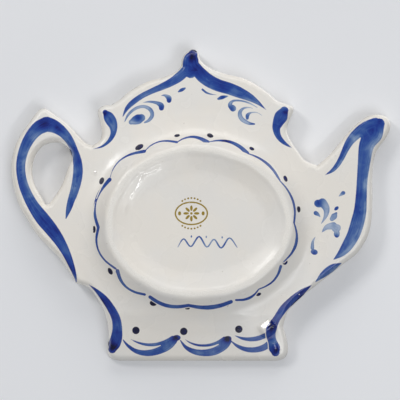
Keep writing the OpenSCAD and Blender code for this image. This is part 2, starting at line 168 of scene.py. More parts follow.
handle_joint = shared_line("handle_loop", "belly_flange")
spout_joint = shared_line("spout", "belly_flange")

# ---------- the surfaces of the casting ----------

CREST_HALF = foot_half - 1.5  # the middle of the bearing edge
COVE = 9.5                    # width of the cove inside the foot ring
MOUTH_WALL = 2.0              # thickness of the well's wall at its mouth


def smooth_table(pairs, sigma=0.35, step=0.05):
    """A smooth curve through pairs of (distance, height), as two arrays."""
    xs, ys = zip(*pairs)
    x = np.arange(xs[0] - 3, xs[-1] + 3, step)
    k = np.arange(-4 * sigma, 4 * sigma + step, step)
    w = np.exp(-((k / sigma) ** 2) / 2)
    y = np.interp(x, xs, ys)
    padded = np.pad(y, len(k) // 2, mode="edge")
    return x, np.convolve(padded, w / w.sum(), "same")[len(k) // 2 : len(k) // 2 + len(x)]


# Height of the underside across the foot ring, from the middle of its bearing edge outwards
FOOT = smooth_table(
    [(-COVE - 3, recess_z), (-COVE, recess_z), (-7.6, recess_z - 0.36), (-5, 1.72), (-3, 1.0),
     (-1.9, 0.5), (-1.3, 0.0), (1.4, 0.0), (2.1, 0.4), (3.0, 1.7), (4.2, 3.6), (5.6, 5.3),
     (7.4, 6.9), (9.6, 8.0), (12.5, 8.8), (17, 9.4)])
FOOT = (FOOT[0], FOOT[1] - FOOT[1].min())
FLANGE_SLOPE = 0.10              # how fast the flange rises towards the outline
# How far the lip stands over the flange, from the outer edge inwards
LIP = smooth_table(
    [(-0.4, 4.6), (0.0, 5.2), (0.4, 6.1), (0.9, 6.5), (2.0, 6.5), (2.7, 5.9), (3.4, 4.4),
     (4.2, 2.5), (5.0, 1.1), (6.0, 0.3), (7.2, 0.0), (9.0, 0.0)], 0.25)
HOLE_LIP = smooth_table(
    [(-0.4, 4.6), (0.0, 5.2), (0.4, 6.0), (0.8, 6.35), (1.3, 6.3), (1.9, 5.3), (2.6, 3.3),
     (3.4, 1.5), (4.3, 0.5), (5.4, 0.0), (8.0, 0.0)], 0.25)
EDGE_WIDE, EDGE_TALL = 2.3, 4.2  # the rounding between the underside and the outer wall
HOLE_EDGE_WIDE, HOLE_EDGE_TALL = 2.2, 5.0


def oval_distance(x, y, half):
    """Signed distance from an oval round the foot's centre, outside it positive."""
    u, v = x - foot_centre[0], y - foot_centre[1]
    q = np.hypot(u / half[0], v / half[1])
    slope = np.hypot(u / half[0] ** 2, v / half[1] ** 2)
    return (q - 1) * q / np.maximum(slope, 1e-9)


def foot_distance(x, y):
    """Signed distance from the middle of the foot's bearing edge, which was turned by hand."""
    t = np.arctan2(y - foot_centre[1], x - foot_centre[0])
    uneven = 0.26 * np.sin(3 * t + 1.0) + 0.18 * np.sin(7 * t + 0.5) + 0.10 * np.sin(15 * t + 2.0)
    return oval_distance(x, y, CREST_HALF) + uneven


def to_segment(x, y, a, b):
    (ax, ay), (bx, by) = a, b
    dx, dy = bx - ax, by - ay
    t = np.clip(((x - ax) * dx + (y - ay) * dy) / (dx * dx + dy * dy), 0, 1)
    return np.hypot(x - ax - t * dx, y - ay - t * dy)


# Thick glaze: from, to, how thick and how wide
DRIPS = [
    ((-30.4, -58.4), (-31.0, -60.6), 0.80, 1.5),   # below the pool on the plinth's corner
    ((7.2, 61.9), (7.8, 59.6), 0.85, 1.4),         # over the knob
    ((44.1, 13.3), (44.1, 13.1), 0.36, 0.55),      # a blister beside the foot
    ((31.6, -3.0), (29.4, 3.6), 0.08, 1.1),        # runs inside the foot
    ((29.4, 3.6), (24.6, 11.6), 0.10, 1.2),
    ((24.6, 11.6), (17.6, 14.8), 0.08, 0.9),
]
# The pool of glaze at the plinth's corner: its crest, its downhill direction and its profile
POOL_CREST = np.array([-28.0, -52.3])
POOL_WAY = np.array([-0.59, -0.81])
POOL = smooth_table([(-6, 0), (-3.6, 0), (-0.6, 2.2), (0.5, 2.2), (2.8, 0), (5, 0)], 0.3)
POOL_HALF_WIDE = 3.9
PLINTH_FALL = 0.24               # how much more the plinth falls away below its upper edge


def pool(x, y):
    """Thickness of the pool of glaze."""
    u, v = x - POOL_CREST[0], y - POOL_CREST[1]
    along = u * POOL_WAY[0] + v * POOL_WAY[1]
    across = np.abs(v * POOL_WAY[0] - u * POOL_WAY[1])
    share = np.clip((POOL_HALF_WIDE - across) / 1.9, 0, 1)
    return np.interp(along, *POOL) * share * share * (3 - 2 * share)


def wet(p):
    """How much of the thick, fully melted glaze there is at each point, from 0 to 1."""
    share = np.clip(pool(p[:, 0], p[:, 1]) / 0.3, 0, 1)
    for a, b, _, wide in DRIPS:
        share = np.maximum(share, np.exp(-((to_segment(p[:, 0], p[:, 1], a, b) / (1.5 * wide)) ** 2)))
    return share


def wave(x, y):
    """The slight warp of a hand-made casting."""
    return (0.10 * np.sin(x / 13 + 1.3) * np.cos(y / 11 + 0.4)
            + 0.06 * np.sin((x + 1.6 * y) / 8.5 + 2.0) + 0.05 * np.sin((x * 1.3 - y) / 6.1))


def corner_round(d, wide, tall):
    s = np.clip(1 - d / wide, 0, 1)
    return tall * (1 - np.sqrt(np.maximum(1 - s * s, 0)))


def measured(p):
    """Points with what the surfaces need to know of them: the nearest spots on the two edges."""
    return p, nearest(p, [outline])[1], nearest(p, [finger_hole])[1]


def distances(place, shift=(0, 0)):
    """The places moved a little, and their distances from the two edges."""
    p = place[0] + shift
    return p, np.hypot(*(p - place[1]).T), np.hypot(*(p - place[2]).T)


def under(place, shift=(0, 0)):
    """Height of the underside at measured points."""
    p, d_edge, d_hole = distances(place, shift)
    x, y = p[:, 0], p[:, 1]
    e = foot_distance(x, y)
    z = np.interp(e, *FOOT) + FLANGE_SLOPE * np.maximum(e - 14, 0) ** 2 / np.maximum(e - 8, 6)
    z = z + PLINTH_FALL * np.maximum(plinth_joint_y - y, 0)
    calm = np.clip((np.abs(e) - 2.5) / 4, 0, 1)
    z = z + wave(x, y) * calm
    for a, b, tall, wide in DRIPS:
        z = z - tall * np.exp(-((to_segment(x, y, a, b) / wide) ** 2))
    z = z - pool(x, y) + corner_round(d_edge, EDGE_WIDE, EDGE_TALL)
    return z + corner_round(d_hole, HOLE_EDGE_WIDE, HOLE_EDGE_TALL)


def top(place, shift=(0, 0)):
    """Height of the upper side at measured points."""
    p, d_edge, d_hole = distances(place, shift)
    x, y = p[:, 0], p[:, 1]
    m = oval_distance(x, y, mouth_half - MOUTH_WALL)
    s = np.clip((m + 6.0) / 7.0, 0, 1)
    s = s * s * (3 - 2 * s)
    z = well_z + (flange_top - well_z) * s + 0.5 * wave(y, x) * np.clip(m / 4, 0, 1)
    rise = (np.interp(d_edge, *LIP) ** 4 + np.interp(d_hole, *HOLE_LIP) ** 4) ** 0.25
    return np.minimum(z + rise, rim_z)


# ---------- triangulation ----------


def tree_of(points):
    tree = kdtree.KDTree(max(len(points), 1))
    for i, p in enumerate(points):
        tree.insert((p[0], p[1], 0), i)
    tree.balance()
    return tree


def thinned(groups):
    """The points of all groups in turn. A group is its points, how clear of earlier points they
    have to be, and how clear of one another."""
    kept = list(groups[0][0])
    for points, clear, apart in groups[1:]:
        tree = tree_of(kept)
        fresh = [p for p in points if tree.find((p[0], p[1], 0))[2] >= clear]
        if fresh and apart > 0:
            tree = tree_of(fresh)
            gone = set()
            for i, p in enumerate(fresh):
                if i not in gone:
                    gone.update(j for _, j, _ in tree.find_range((p[0], p[1], 0), apart) if j > i)
            fresh = [p for i, p in enumerate(fresh) if i not in gone]
        kept += fresh
    return np.array(kept)


def rows(loops, distances, step):
    """Points at set distances inside the loops."""
    made, before = [], 0.0
    for d in distances:
        row = []
        for loop in loops:
            ring = resampled(loop, step if d < 1.2 else step * 1.5)
            tangent = np.roll(ring, -1, 0) - np.roll(ring, 1, 0)
            tangent /= np.maximum(np.hypot(*tangent.T), 1e-9)[:, None]
            normal = np.stack([-tangent[:, 1], tangent[:, 0]], 1)
            inwards = 1 if inside(ring[:9] + 0.02 * normal[:9], loops).sum() > 4 else -1
            row.append(ring + inwards * d * normal)
        row = np.vstack(row)
        true = nearest(row, loops)[0]
        row = row[(true > 0.96 * d) & inside(row, loops)]
        made.append((row, 0.75 * (d - before), 0.5 * step))
        before = d
    return made


def grid(loops, step):
    low, high = np.min([p.min(0) for p in loops], 0), np.max([p.max(0) for p in loops], 0)
    xs, ys = np.arange(low[0], high[0], step), np.arange(low[1], high[1], step * 0.87)
    return np.array([(x + (j % 2) * step / 2, y) for j, y in enumerate(ys) for x in xs])


def triangulate(loops, inner, cuts=()):
    """Triangles inside the loops, with the inner points and along the cuts: points and indices."""
    coords, edges = [], []
    for loop in loops:
        n = len(coords)
        coords += [tuple(p) for p in loop]
        edges += [(n + i, n + (i + 1) % len(loop)) for i in range(len(loop))]
    for line in cuts:
        n = len(coords)
        coords += [tuple(p) for p in line]
        edges += [(n + i, n + i + 1) for i in range(len(line) - 1)]
    coords += [tuple(p) for p in inner]
    made = geometry.delaunay_2d_cdt([Vector(c) for c in coords], edges, [], 0, 1e-5)
    points = np.array([tuple(v) for v in made[0]])
    faces = np.array([f for f in made[2] if len(f) == 3])
    middle = points[faces].mean(1)
    faces = faces[inside(middle, loops)]
    a, b, c = points[faces[:, 0]], points[faces[:, 1]], points[faces[:, 2]]
    turn = (b[:, 0] - a[:, 0]) * (c[:, 1] - a[:, 1]) - (b[:, 1] - a[:, 1]) * (c[:, 0] - a[:, 0])
    faces = faces[np.abs(turn) > 1e-7]
    turn = turn[np.abs(turn) > 1e-7]
    faces[turn < 0] = faces[turn < 0][:, ::-1]
    return points, faces


# ---------- meshes ----------


def make_object(name, points, faces, normals=None, attributes=()):
    mesh = bpy.data.meshes.new(name)
    mesh.from_pydata((np.asarray(points) * METRE).tolist(), [], [list(map(int, f)) for f in faces])
    mesh.validate()
    mesh.shade_smooth()
    for label, values in attributes:
        layer = mesh.attributes.new(label, "FLOAT", "POINT")
        layer.data.foreach_set("value", np.asarray(values, np.float32))
    if normals is not None:
        mesh.normals_split_custom_set_from_vertices([tuple(map(float, n)) for n in normals])
    piece = bpy.data.objects.new(name, mesh)
    bpy.context.scene.collection.objects.link(piece)
    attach(piece, "root")
    return piece


def vertex_normals(points, faces):
    """Smooth normals, each face counted by its area."""
    total = np.zeros_like(points)
    a, b, c = (points[faces[:, k]] for k in range(3))
    face_normal = np.cross(b - a, c - a)
    for k in range(3):
        np.add.at(total, faces[:, k], face_normal)
    return total / np.maximum(np.linalg.norm(total, axis=1), 1e-12)[:, None]


# ---------- the casting ----------


def oval_points(half, grow, step):
    a, b = half[0] + grow, half[1] + grow
    n = max(12, int(math.pi * (a + b) / step))
    t = np.arange(n) * 2 * math.pi / n
    return np.stack([foot_centre[0] + a * np.cos(t), foot_centre[1] + b * np.sin(t)], 1)


def around(a, b, reach, step):
    """A fine grid of points within reach of the line from a to b."""
    box = np.array([a, b])
    low, high = box.min(0) - reach, box.max(0) + reach
    xs, ys = np.meshgrid(np.arange(low[0], high[0], step), np.arange(low[1], high[1], step))
    p = np.column_stack([xs.ravel(), ys.ravel()])
    return p[to_segment(p[:, 0], p[:, 1], a, b) < reach]


def straight(a, b, step=1.4):
    a, b = np.array(a, float), np.array(b, float)
    n = max(1, int(np.hypot(*(b - a)) / step))
    return np.array([a + (b - a) * k / n for k in range(n + 1)])


GLAZED = 99.0                    # a distance from the bearing edge at which nothing is wiped bare
# Distances at which the casting has rows of points: from the edges, and from the foot's crest
EDGE_ROWS = [0.05, 0.18, 0.4, 0.7, 1.05, 1.45, 1.9, 2.35, 2.9, 3.6, 4.4, 5.3, 6.4]
FOOT_ROWS = [-8.5, -7, -5.6, -4.2, -3, -2.4, -1.9, -1.4, -0.9, -0.4, 0.1, 0.6, 1.1, 1.6, 2.1, 2.7,
             3.4, 4.2, 5.2, 6.4, 7.8, 9.4, 11.4]


def casting():
    """One closed skin for the whole dish, then one piece for each zone of it."""
    loops = [resampled(outline, 0.8), resampled(finger_hole, 0.6)]
    beyond = 2.0
    left, right = outline[:, 0].min() - beyond, outline[:, 0].max() + beyond
    floor_ring = oval_points(CREST_HALF, -COVE, 1.2)
    mouth_ring = oval_points(mouth_half, 0.0, 1.2)
    cuts = [
        straight((left, knob_joint_y), (right, knob_joint_y)),
        straight((left, lid_joint_y), (right, lid_joint_y)),
        straight((left, plinth_joint_y), (right, plinth_joint_y)),
        straight(*handle_joint), straight(*spout_joint),
        np.vstack([floor_ring, floor_ring[:1]]), np.vstack([mouth_ring, mouth_ring[:1]]),
    ]
    groups = [(np.vstack(loops + cuts), 0, 0)]
    groups += rows(loops, EDGE_ROWS, 0.8)
    for a, b, _, wide in DRIPS:
        groups.append((around(a, b, 2.2 * wide, 0.45), 0.2, 0))
    uphill, downhill = POOL_CREST - 3 * POOL_WAY, POOL_CREST + 2 * POOL_WAY
    groups.append((around(uphill, downhill, POOL_HALF_WIDE, 0.45), 0.2, 0))
    for grow in FOOT_ROWS:
        groups.append((oval_points(CREST_HALF, grow, 1.2), 0.35, 0))
    groups.append((grid([outline], 1.5), 0.9, 0))
    inner = thinned(groups)[len(groups[0][0]):]
    inner = inner[inside(inner, loops)]
    clear = np.ones(len(inner), bool)
    for line in cuts:
        for a, b in zip(line, line[1:]):
            clear &= to_segment(inner[:, 0], inner[:, 1], a, b) > 0.3
    inner = inner[clear]
    flat, faces = triangulate(loops, inner, cuts)

    place = measured(flat)
    low, high = under(place), top(place)
    n = len(flat)
    points = np.vstack([np.column_stack([flat, low]), np.column_stack([flat, high])])
    skin = [faces[:, ::-1], faces + n]

    # the outer wall and the wall of the finger hole
    middle = flat[faces].mean(1)
    zone = zones(middle)
    owner = {}
    for f, (a, b, c) in enumerate(faces):
        for edge in ((a, b), (b, c), (c, a)):
            owner[edge] = f
    walls, wall_zone, joints = [], [], []
    for (a, b), f in owner.items():
        g = owner.get((b, a))
        if g is None:
            walls += [(a, b, b + n), (a, b + n, a + n)]
            wall_zone += [zone[f], zone[f]]
        elif zone[g] != zone[f]:
            joints.append((zone[f], [(a, b, b + n), (a, b + n, a + n)]))
    walls = np.array(walls)
    visible = np.vstack(skin + [walls])
    belongs = np.concatenate([zone, zone, np.array(wall_zone)])
    normals = vertex_normals(points, visible)
    e = foot_distance(flat[:, 0], flat[:, 1])
    bare = np.concatenate([np.abs(e), np.full(n, GLAZED)])
    melted = np.concatenate([wet(flat), np.zeros(n)])

    made = {}
    for name in ZONES:
        mine = [visible[belongs == name]]
        extra = [t for z, pair in joints if z == name for t in pair]
        if extra:
            mine.append(np.array(extra))
        mine = np.vstack(mine)
        used, index = np.unique(mine, return_inverse=True)
        made[name] = make_object(name, points[used], index.reshape(-1, 3), normals[used],
                                 [("bare", bare[used]), ("wet", melted[used])])
    return made


ZONES = {
    "well_floor_and_recess": ["well_floor"],
    "foot_and_well_wall": ["foot_ring", "well_wall"],
    "knob_casting": ["finial_knob", "rim_lip"],
    "lid_casting": ["lid_crest", "rim_lip"],
    "plinth_casting": ["plinth", "rim_lip"],
    "handle_casting": ["handle_loop", "handle_hole_lip", "rim_lip"],
    "spout_casting": ["spout", "rim_lip"],
    "belly_casting": ["belly_flange", "rim_lip"],
}


def zones(p):
    """The name of the zone that each point is in."""
    x, y = p[:, 0], p[:, 1]

    def side(line):
        (ax, ay), (bx, by) = line
        return (x - ax) * (by - ay) - (y - ay) * (bx - ax)

    tests = [
        oval_distance(x, y, CREST_HALF - COVE) < 0,
        oval_distance(x, y, mouth_half) < 0,
        y > knob_joint_y, y > lid_joint_y, y < plinth_joint_y,
        side(handle_joint) < 0, side(spout_joint) > 0,
    ]
    return np.select(tests, list(ZONES)[:-1], "belly_casting")


# ---------- painting ----------

FILM = 0.07      # how far a painted stroke stands over the casting
SUNK = 0.35      # how deep its back is sunk into the casting
STROKE_STEP = 0.45
STROKE_ROWS = [0.1, 0.22, 0.4, 0.7, 1.1, 1.6, 2.2, 3.0]


def surface_normal(surface, place, out):
    h = 0.06
    dx = (surface(place, (h, 0)) - surface(place, (-h, 0))) / (2 * h)
    dy = (surface(place, (0, h)) - surface(place, (0, -h))) / (2 * h)
    n = np.column_stack([-dx, -dy, np.ones(len(dx))]) * out
    return n / np.linalg.norm(n, axis=1)[:, None]


def blobs(p, table):
    """How much of each round blob (x, y, radius, strength) reaches the points."""
    total = np.zeros(len(p))
    for x, y, r, strength in table:
        near = np.exp(-(((p[:, 0] - x) ** 2 + (p[:, 1] - y) ** 2) / (r * r)))
        total = np.maximum(total, strength * near) if strength > 0 else np.minimum(total, strength * near)
    return total


def painted(name, node, surface, out, tone=0.5, load=(), wash=(), fringe=None, film=FILM):
    """A film over the casting where the CAD node is. fringe is (x, y, width, strength, mode)."""
    loops = [p for p in footprint(node) if abs(area(p)) > 0.05]
    fine = [resampled(p, STROKE_STEP) for p in loops]
    groups = [(np.vstack(fine), 0, 0)]
    groups += rows(fine, STROKE_ROWS, STROKE_STEP)
    groups.append((grid(fine, 0.8), 0.4, 0))
    inner = thinned(groups)[len(groups[0][0]):]
    inner = inner[inside(inner, fine)]
    inner = inner[nearest(inner, fine)[0] > 0.07]
    flat, faces = triangulate(fine, inner)
    n = len(flat)
    edge, spot = nearest(flat, fine)
    place = measured(flat)
    level = surface(place)
    lift = out * (film * np.clip(edge / 0.22, 0, 1) - 0.02 * (edge < 1e-4))
    front = np.column_stack([flat, level + lift])
    back = np.column_stack([flat, level - out * (0.06 + (SUNK - 0.06) * np.clip(edge / 0.3, 0, 1))])
    normal = surface_normal(surface, place, out)
    points = np.vstack([front, back])
    if out > 0:
        skin = [faces, faces[:, ::-1] + n]
    else:
        skin = [faces[:, ::-1], faces + n]
    sides = dict.fromkeys(pair for a, b, c in faces for pair in ((a, b), (b, c), (c, a)))
    walls = []
    for a, b in sides:
        if (b, a) not in sides and out > 0:
            walls += [(a, a + n, b + n), (a, b + n, b)]
        elif (b, a) not in sides:
            walls += [(a, b + n, a + n), (a, b, b + n)]
    faces = np.vstack(skin + [np.array(walls)])
    value = tone + blobs(flat, load) + blobs(flat, wash)
    if fringe:
        fx, fy, wide, strength, mode = fringe
        away = spot - flat
        away /= np.maximum(np.hypot(*away.T), 1e-6)[:, None]
        if mode == "toward":
            aim = np.array([fx, fy]) - flat
        else:
            aim = np.tile([fx, fy], (n, 1)).astype(float)
        aim /= np.maximum(np.hypot(*aim.T), 1e-6)[:, None]
        facing = np.clip((away * aim).sum(1), 0, 1)
        value = value - strength * facing * np.clip(1 - edge / wide, 0, 1)
    normals = np.vstack([normal, -normal])
    melted = wet(flat) if out < 0 else np.zeros(n)
    layers = [("edge", edge), ("tone", value), ("wet", melted)]
    piece = make_object(name, points, faces, normals, [(k, np.concatenate([v, v])) for k, v in layers])
    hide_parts(node)
    return piece


# ---------- materials ----------


def linear(r, g, b):
    """A colour given in 0 to 255, as Blender's linear numbers."""
    parts = []
    for c in (r / 255, g / 255, b / 255):
        parts.append(c / 12.92 if c <= 0.04045 else ((c + 0.055) / 1.055) ** 2.4)
    return (*parts, 1.0)


class Shader:
    """A node material under construction."""

    def __init__(self, name):
        self.material = bpy.data.materials.new(name)
        self.material.use_nodes = True
        self.tree = self.material.node_tree
        self.bsdf = self.tree.nodes["Principled BSDF"]
        self.place = self.node("ShaderNodeTexCoord").outputs["Object"]

    def node(self, kind, **settings):
        made = self.tree.nodes.new(kind)
        for key, value in settings.items():
            setattr(made, key, value)
        return made

    def put(self, socket, value):
        if isinstance(value, bpy.types.NodeSocket):
            self.tree.links.new(value, socket)
        else:
            socket.default_value = value

    def math(self, operation, a, b=0.0, clamp=False):
        made = self.node("ShaderNodeMath", operation=operation, use_clamp=clamp)
        self.put(made.inputs[0], a)
        self.put(made.inputs[1], b)
        return made.outputs[0]

    def span(self, value, low, high, to_low=0.0, to_high=1.0):
        made = self.node("ShaderNodeMapRange", interpolation_type="SMOOTHSTEP")
        for socket, v in zip(made.inputs, (value, low, high, to_low, to_high)):
            self.put(socket, v)
        return made.outputs[0]

    def noise(self, scale, detail=2.0, vector=None, distortion=0.0):
        made = self.node("ShaderNodeTexNoise")
        self.put(made.inputs["Vector"], self.place if vector is None else vector)
        made.inputs["Scale"].default_value = scale
        made.inputs["Detail"].default_value = detail
        made.inputs["Distortion"].default_value = distortion
        return made.outputs["Fac"]

    def mix(self, share, a, b):
        made = self.node("ShaderNodeMix", data_type="RGBA")
        self.put(made.inputs[0], share)
        self.put(made.inputs[6], a)
        self.put(made.inputs[7], b)
        return made.outputs[2]

    def attribute(self, name):
        return self.node("ShaderNodeAttribute", attribute_name=name).outputs["Fac"]

    def ramp(self, value, stops):
        made = self.node("ShaderNodeValToRGB")
        ends = made.color_ramp.elements
        while len(ends) < len(stops):
            ends.new(0.5)
        for element, (at, colour) in zip(ends, stops):
            element.position = at
            element.color = colour
        self.put(made.inputs["Fac"], value)
        return made.outputs["Color"]

    def bump(self, height, distance, strength=1.0, onto=None):
        made = self.node("ShaderNodeBump")
        made.inputs["Strength"].default_value = strength
        made.inputs["Distance"].default_value = distance
        self.put(made.inputs["Height"], height)
        if onto is not None:
            self.put(made.inputs["Normal"], onto)
        return made.outputs["Normal"]

    def finish(self, colour, roughness, normal=None, metallic=0.0, ior=1.5):
        self.put(self.bsdf.inputs["Base Color"], colour)
        self.put(self.bsdf.inputs["Roughness"], roughness)
        self.put(self.bsdf.inputs["Metallic"], metallic)
        self.bsdf.inputs["IOR"].default_value = ior
        if normal is not None:
            self.put(self.bsdf.inputs["Normal"], normal)
        return self.material


PORCELAIN_WARM = (240, 235, 227)
PORCELAIN_COOL = (237, 234, 229)


def glaze_colour(s):
    """White porcelain under clear glaze: warm and cool clouds, and a few iron specks."""
    cloud = s.noise(45, 3.0)
    base = s.mix(s.span(cloud, 0.35, 0.65), linear(*PORCELAIN_COOL), linear(*PORCELAIN_WARM))
    speck = s.span(s.noise(620, 1.0), 0.785, 0.81)
    return s.mix(s.math("MULTIPLY", speck, 0.25), base, linear(150, 135, 115))


def glaze_normal(s):
    """The soft ripple of a fired glaze, with fine orange peel over it."""
    ripple = s.bump(s.noise(110, 2.0), 0.00018, 0.5)
    return s.bump(s.noise(1500, 1.0), 0.00001, 0.35, ripple)


def glaze_gloss(s):
    """Roughness of the glaze: satin where it is thin, and mirror-like where it ran thick."""
    satin = s.span(s.noise(70, 2.0), 0.3, 0.7, 0.22, 0.31)
    share = s.node("ShaderNodeMix", data_type="FLOAT")
    s.put(share.inputs[0], s.attribute("wet"))
    s.put(share.inputs[2], satin)
    share.inputs[3].default_value = 0.04
    return share.outputs[0]


def glazed_porcelain():
    s = Shader("glazed_porcelain")
    return s.finish(glaze_colour(s), glaze_gloss(s), glaze_normal(s))


def foot_porcelain():
    """Glazed porcelain whose bearing edge was wiped bare before the firing."""
    s = Shader("foot_porcelain")
    uneven = s.math("MULTIPLY", s.math("SUBTRACT", s.noise(380, 3.0), 0.5), 1.6)
    ragged = s.math("ADD", s.attribute("bare"), uneven)
    bare = s.span(ragged, 0.7, 1.25, 1.0, 0.0)
    grain = s.noise(2600, 3.0)
    grit = s.mix(s.span(grain, 0.35, 0.7), linear(234, 230, 223), linear(246, 243, 237))
    colour = s.mix(bare, glaze_colour(s), grit)
    rough = s.math("ADD", glaze_gloss(s), s.math("MULTIPLY", bare, 0.40))
    crumbs = s.math("MULTIPLY", bare, s.noise(900, 4.0))
    return s.finish(colour, rough, s.bump(crumbs, 0.0002, 0.5, glaze_normal(s)))


# The colour of the painting, from the thinnest wash to a fully loaded brush
TONES = [
    (0.0, (172, 186, 208)), (0.2, (114, 140, 182)), (0.38, (68, 102, 164)), (0.55, (40, 77, 155)),
    (0.72, (24, 55, 143)), (0.86, (12, 27, 112)), (1.0, (2, 5, 50)),
]


def cobalt(name, streaks=0.28, soft=0.32):
    """Brush painting: a loaded brush leaves deep heads, pooled edges and streaks along the stroke."""
    s = Shader(name)
    edge = s.attribute("edge")
    tone = s.attribute("tone")
    # streaks run with the edges of the stroke, because they vary fast only across it
    spread = s.node("ShaderNodeCombineXYZ")
    split = s.node("ShaderNodeSeparateXYZ")
    s.put(split.inputs[0], s.place)
    s.put(spread.inputs[0], s.math("MULTIPLY", split.outputs[0], 110))
    s.put(spread.inputs[1], s.math("MULTIPLY", split.outputs[1], 110))
    s.put(spread.inputs[2], s.math("MULTIPLY", edge, 2.4))
    hair = s.noise(1.0, 3.0, spread.outputs[0])
    pool = s.span(s.noise(160, 2.0, distortion=0.6), 0.3, 0.7, -0.11, 0.11)
    pooled_edge = s.math("MULTIPLY", s.span(edge, 0.25, 0.7, 1.0, 0.0), 0.06)
    value = s.math("ADD", tone, s.math("MULTIPLY", s.math("SUBTRACT", hair, 0.5), streaks * 2))
    value = s.math("ADD", s.math("ADD", value, pool), pooled_edge)
    paint = s.ramp(value, [(at, linear(*colour)) for at, colour in TONES])
    ragged = s.math("ADD", edge, s.math("MULTIPLY", s.math("SUBTRACT", s.noise(900, 2.0), 0.5), 0.12))
    cover = s.span(ragged, 0.04, soft)
    colour = s.mix(cover, glaze_colour(s), paint)
    return s.finish(colour, glaze_gloss(s), glaze_normal(s))


def worn_gold():
    s = Shader("worn_gold")
    edge = s.attribute("edge")
    wear = s.span(s.math("ADD", s.noise(1500, 3.0), s.math("MULTIPLY", edge, 0.5)), 0.30, 0.46)
    gilt = s.mix(s.noise(600, 2.0), linear(140, 114, 0), linear(178, 148, 20))
    colour = s.mix(s.math("MULTIPLY", wear, 0.96), glaze_colour(s), gilt)
    return s.finish(colour, s.span(wear, 0, 1, 0.15, 0.38), glaze_normal(s), s.math("MULTIPLY", wear, 0.25))


def dress(piece, material):
    piece.data.materials.clear()
    piece.data.materials.append(material)


# ---------- building ----------

porcelain = glazed_porcelain()
for zone_name, piece in casting().items():
    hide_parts(*ZONES[zone_name])
    dress(piece, foot_porcelain() if zone_name == "foot_and_well_wall" else porcelain)

brush = cobalt("cobalt_brush")
fine_brush = cobalt("cobalt_fine_brush", streaks=0.16, soft=0.24)

HOLE_MIDDLE = tuple(finger_hole.mean(0))
UNDER_PAINT = [
    ("handle_painting", "handle_strokes", brush, dict(
        tone=0.50, fringe=(*HOLE_MIDDLE, 2.6, 0.22, "toward"),
        load=[(65.5, 33.6, 3.4, 0.40), (60, 31, 2.6, 0.30), (66, -5, 6, 0.20), (60.5, -13, 6, 0.26),
              (54.5, -27, 6, 0.16), (52.1, 17, 2.2, 0.22), (51.5, 11, 3, 0.06)],
        wash=[(74.5, 20, 6, -0.05)])),
    ("spout_painting", "spout_strokes", brush, dict(
        tone=0.50, fringe=(-1, -0.1, 3.4, 0.34, "along"),
        load=[(-75.6, 34.2, 2.6, 0.36), (-72.4, 31.2, 2.4, 0.26), (-69.4, 28, 2.4, 0.16),
              (-66.5, 0, 5, 0.10)],
        wash=[(-63.6, 27.4, 3.5, -0.14), (-57.5, -22, 3, -0.16), (-62, -14, 5, -0.10)])),
    ("spout_floret_painting", "spout_florets", fine_brush, dict(
        tone=0.14, load=[(-49.2, 0.2, 1.5, 0.50), (-48, -3.8, 1.3, 0.28), (-59.6, 4.7, 1.1, 0.25),
                         (-56.7, -1.8, 1.6, 0.5), (-56.6, -14, 1.3, 0.5), (-47.2, -20.6, 1.4, 0.45)],
        wash=[(-53.4, -9.6, 3.0, -0.16), (-46.8, -15.6, 2.4, -0.14)])),
    ("lid_painting", "lid_strokes", brush, dict(
        tone=0.52, fringe=(0, -1, 1.6, 0.20, "along"),
        load=[(3.6, 62.6, 2.8, 0.36), (1.0, 55.5, 3.4, 0.24), (6.6, 59, 1.6, 0.2), (-8, 49.6, 4, 0.10)],
        wash=[(9, 54.8, 3.2, -0.16)])),
    ("lid_curl_painting", "lid_curls", fine_brush, dict(
        tone=0.17, load=[(26.3, 36.3, 1.7, 0.55), (16.8, 40.3, 1.5, 0.5), (13.5, 43.4, 1.4, 0.5),
                         (8.1, 48, 1.6, 0.36), (-9.1, 44.8, 1.6, 0.5), (-12.5, 40, 1.6, 0.45),
                         (-19.4, 36.6, 1.3, 0.35), (-21.6, 33.9, 1.5, 0.35), (-1.4, 47.6, 1.4, 0.2)],
        wash=[(-20.5, 40.5, 3.0, -0.14), (-24, 38, 3, -0.14)])),
    ("collar_painting", "collar_commas", brush, dict(
        tone=0.50, load=[(40.4, 38.2, 1.4, 0.45), (-35.6, 38.6, 1.5, 0.40), (-33, 35, 3, 0.08)],
        fringe=(1, 0.3, 1.4, 0.10, "along"))),
    ("belly_painting", "belly_strokes", brush, dict(
        tone=0.66, fringe=(-1, 0.2, 1.6, 0.14, "along"),
        load=[(37, -60, 1.8, 0.30), (-29.3, -51.8, 2.2, 0.34), (-31.6, -61.2, 1.4, 0.26),
              (-28.6, -56, 1, 0.2), (40, -40, 4, 0.06)],
        wash=[(-30.4, -58.2, 1.5, -0.30)])),
    ("garland_painting", "scallop_garland", fine_brush, dict(
        tone=0.48, load=[(-10.6, 26.6, 2.2, 0.34), (-26, 21, 2.4, 0.22), (24, 22.2, 1.2, 0.3)])),
    ("garland_dot_painting", "garland_dots", fine_brush, dict(tone=1.0)),
    ("plinth_swag_painting", "plinth_swags", brush, dict(
        tone=0.46, fringe=(0, 1, 1.2, 0.12, "along"),
        load=[(10.5, -56, 1.9, 0.60), (-11, -56.3, 1.9, 0.60), (29, -60.4, 3, 0.20), (5, -60.6, 3, 0.18),
              (-28.4, -54.4, 2, 0.30)],
        wash=[(14.5, -59.6, 2.2, -0.04)])),
    ("plinth_dot_painting", "plinth_dots", fine_brush, dict(tone=1.04)),
    ("flourish_painting", "painter_flourish", fine_brush, dict(
        tone=0.20, load=[(0.8, -14, 2, 0.2), (-9, -17, 2, 0.25)])),
]
